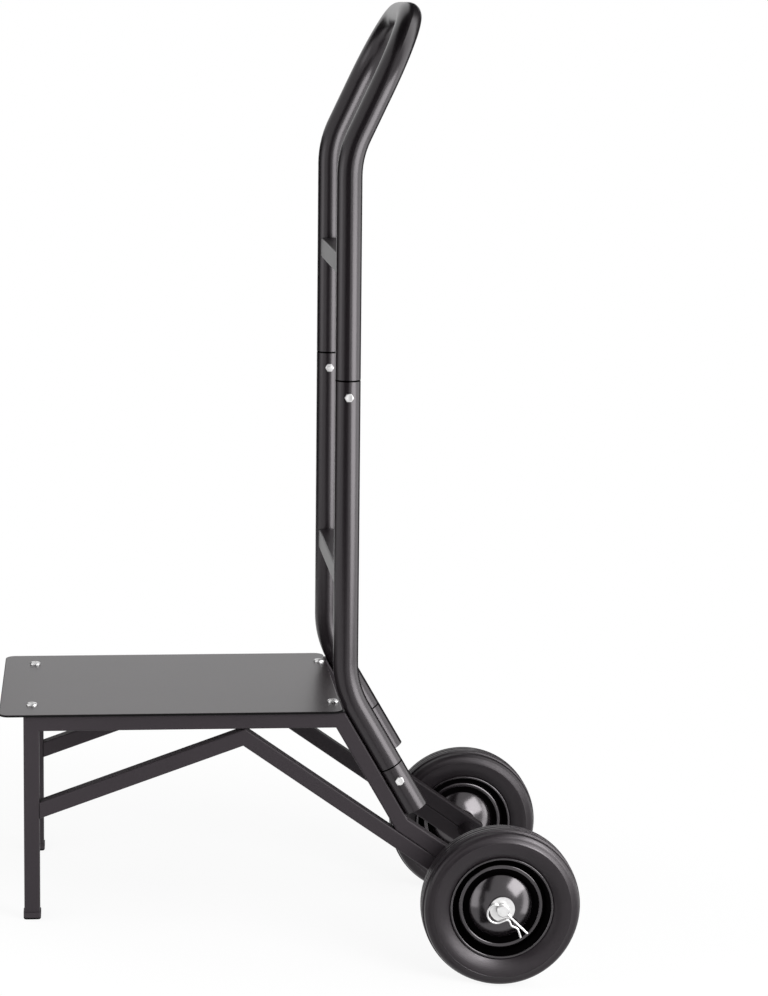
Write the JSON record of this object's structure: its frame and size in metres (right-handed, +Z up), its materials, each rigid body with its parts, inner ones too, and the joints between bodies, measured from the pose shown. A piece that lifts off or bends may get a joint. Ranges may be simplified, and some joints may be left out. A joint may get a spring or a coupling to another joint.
{
  "type": "chair trolley",
  "caption": "Tall two-wheeled tubular steel trolley with a low load plate on legged side frames, square crossbars, a bent U handle and pressed-disc wheels on a clipped axle.",
  "frame": {"origin": "on the floor, under the centre of the trolley's bounding box, in its resting stance on both wheels and both front feet", "axes": "+Z up, +X rearwards from the load plate to the wheels, +Y to the right of a person who stands behind the handle"},
  "size_m": [0.7652, 0.435, 1.2184],
  "materials": {
    "powder_coat": "satin black powder coat on steel",
    "bright_zinc": "bright zinc plate",
    "cap_plastic": "moulded black plastic",
    "wheel_paint": "gloss black paint on pressed steel",
    "tyre_rubber": "smooth grey-black rubber",
    "bush_nylon": "natural nylon"
  },
  "bodies": {
    "frame": {"handle": "powder_coat", "lower_crossbar": "powder_coat", "upper_crossbar": "powder_coat", "front_cross_tube": "powder_coat", "rear_cross_tube": "powder_coat", "load_plate": "powder_coat", "plate_bolts": "bright_zinc", "plate_nuts": "bright_zinc", "lower_joint_bolts": "bright_zinc", "lower_joint_nuts": "bright_zinc", "upper_joint_bolts": "bright_zinc", "upper_joint_nuts": "bright_zinc", "axle_tube": "powder_coat", "axle": "bright_zinc", "inner_washers": "bright_zinc", "outer_washers": "bright_zinc", "left_front_leg": "powder_coat", "left_top_rail": "powder_coat", "left_rear_strut": "powder_coat", "left_upper_arm": "powder_coat", "left_front_brace": "powder_coat", "left_rear_brace": "powder_coat", "left_foot_cap": "cap_plastic", "left_socket": "powder_coat", "left_lower_upright": "powder_coat", "left_clip": "bright_zinc", "right_front_leg": "powder_coat", "right_top_rail": "powder_coat", "right_rear_strut": "powder_coat", "right_upper_arm": "powder_coat", "right_front_brace": "powder_coat", "right_rear_brace": "powder_coat", "right_foot_cap": "cap_plastic", "right_socket": "powder_coat", "right_lower_upright": "powder_coat", "right_clip": "bright_zinc"},
    "left_wheel": {"left_tyre": "tyre_rubber", "left_outer_disc": "wheel_paint", "left_inner_disc": "wheel_paint", "left_hub": "wheel_paint", "left_bushes": "bush_nylon"},
    "right_wheel": {"right_tyre": "tyre_rubber", "right_outer_disc": "wheel_paint", "right_inner_disc": "wheel_paint", "right_hub": "wheel_paint", "right_bushes": "bush_nylon"}
  },
  "joints": [
    {"name": "left_wheel_spin", "type": "hinge", "parent": "frame", "child": "left_wheel", "pos_m": [0.2811, -0.1885, 0.1015], "axis": [0, 1, 0], "continuous": true},
    {"name": "right_wheel_spin", "type": "hinge", "parent": "frame", "child": "right_wheel", "pos_m": [0.2811, 0.1885, 0.1015], "axis": [0, 1, 0], "continuous": true}
  ]
}
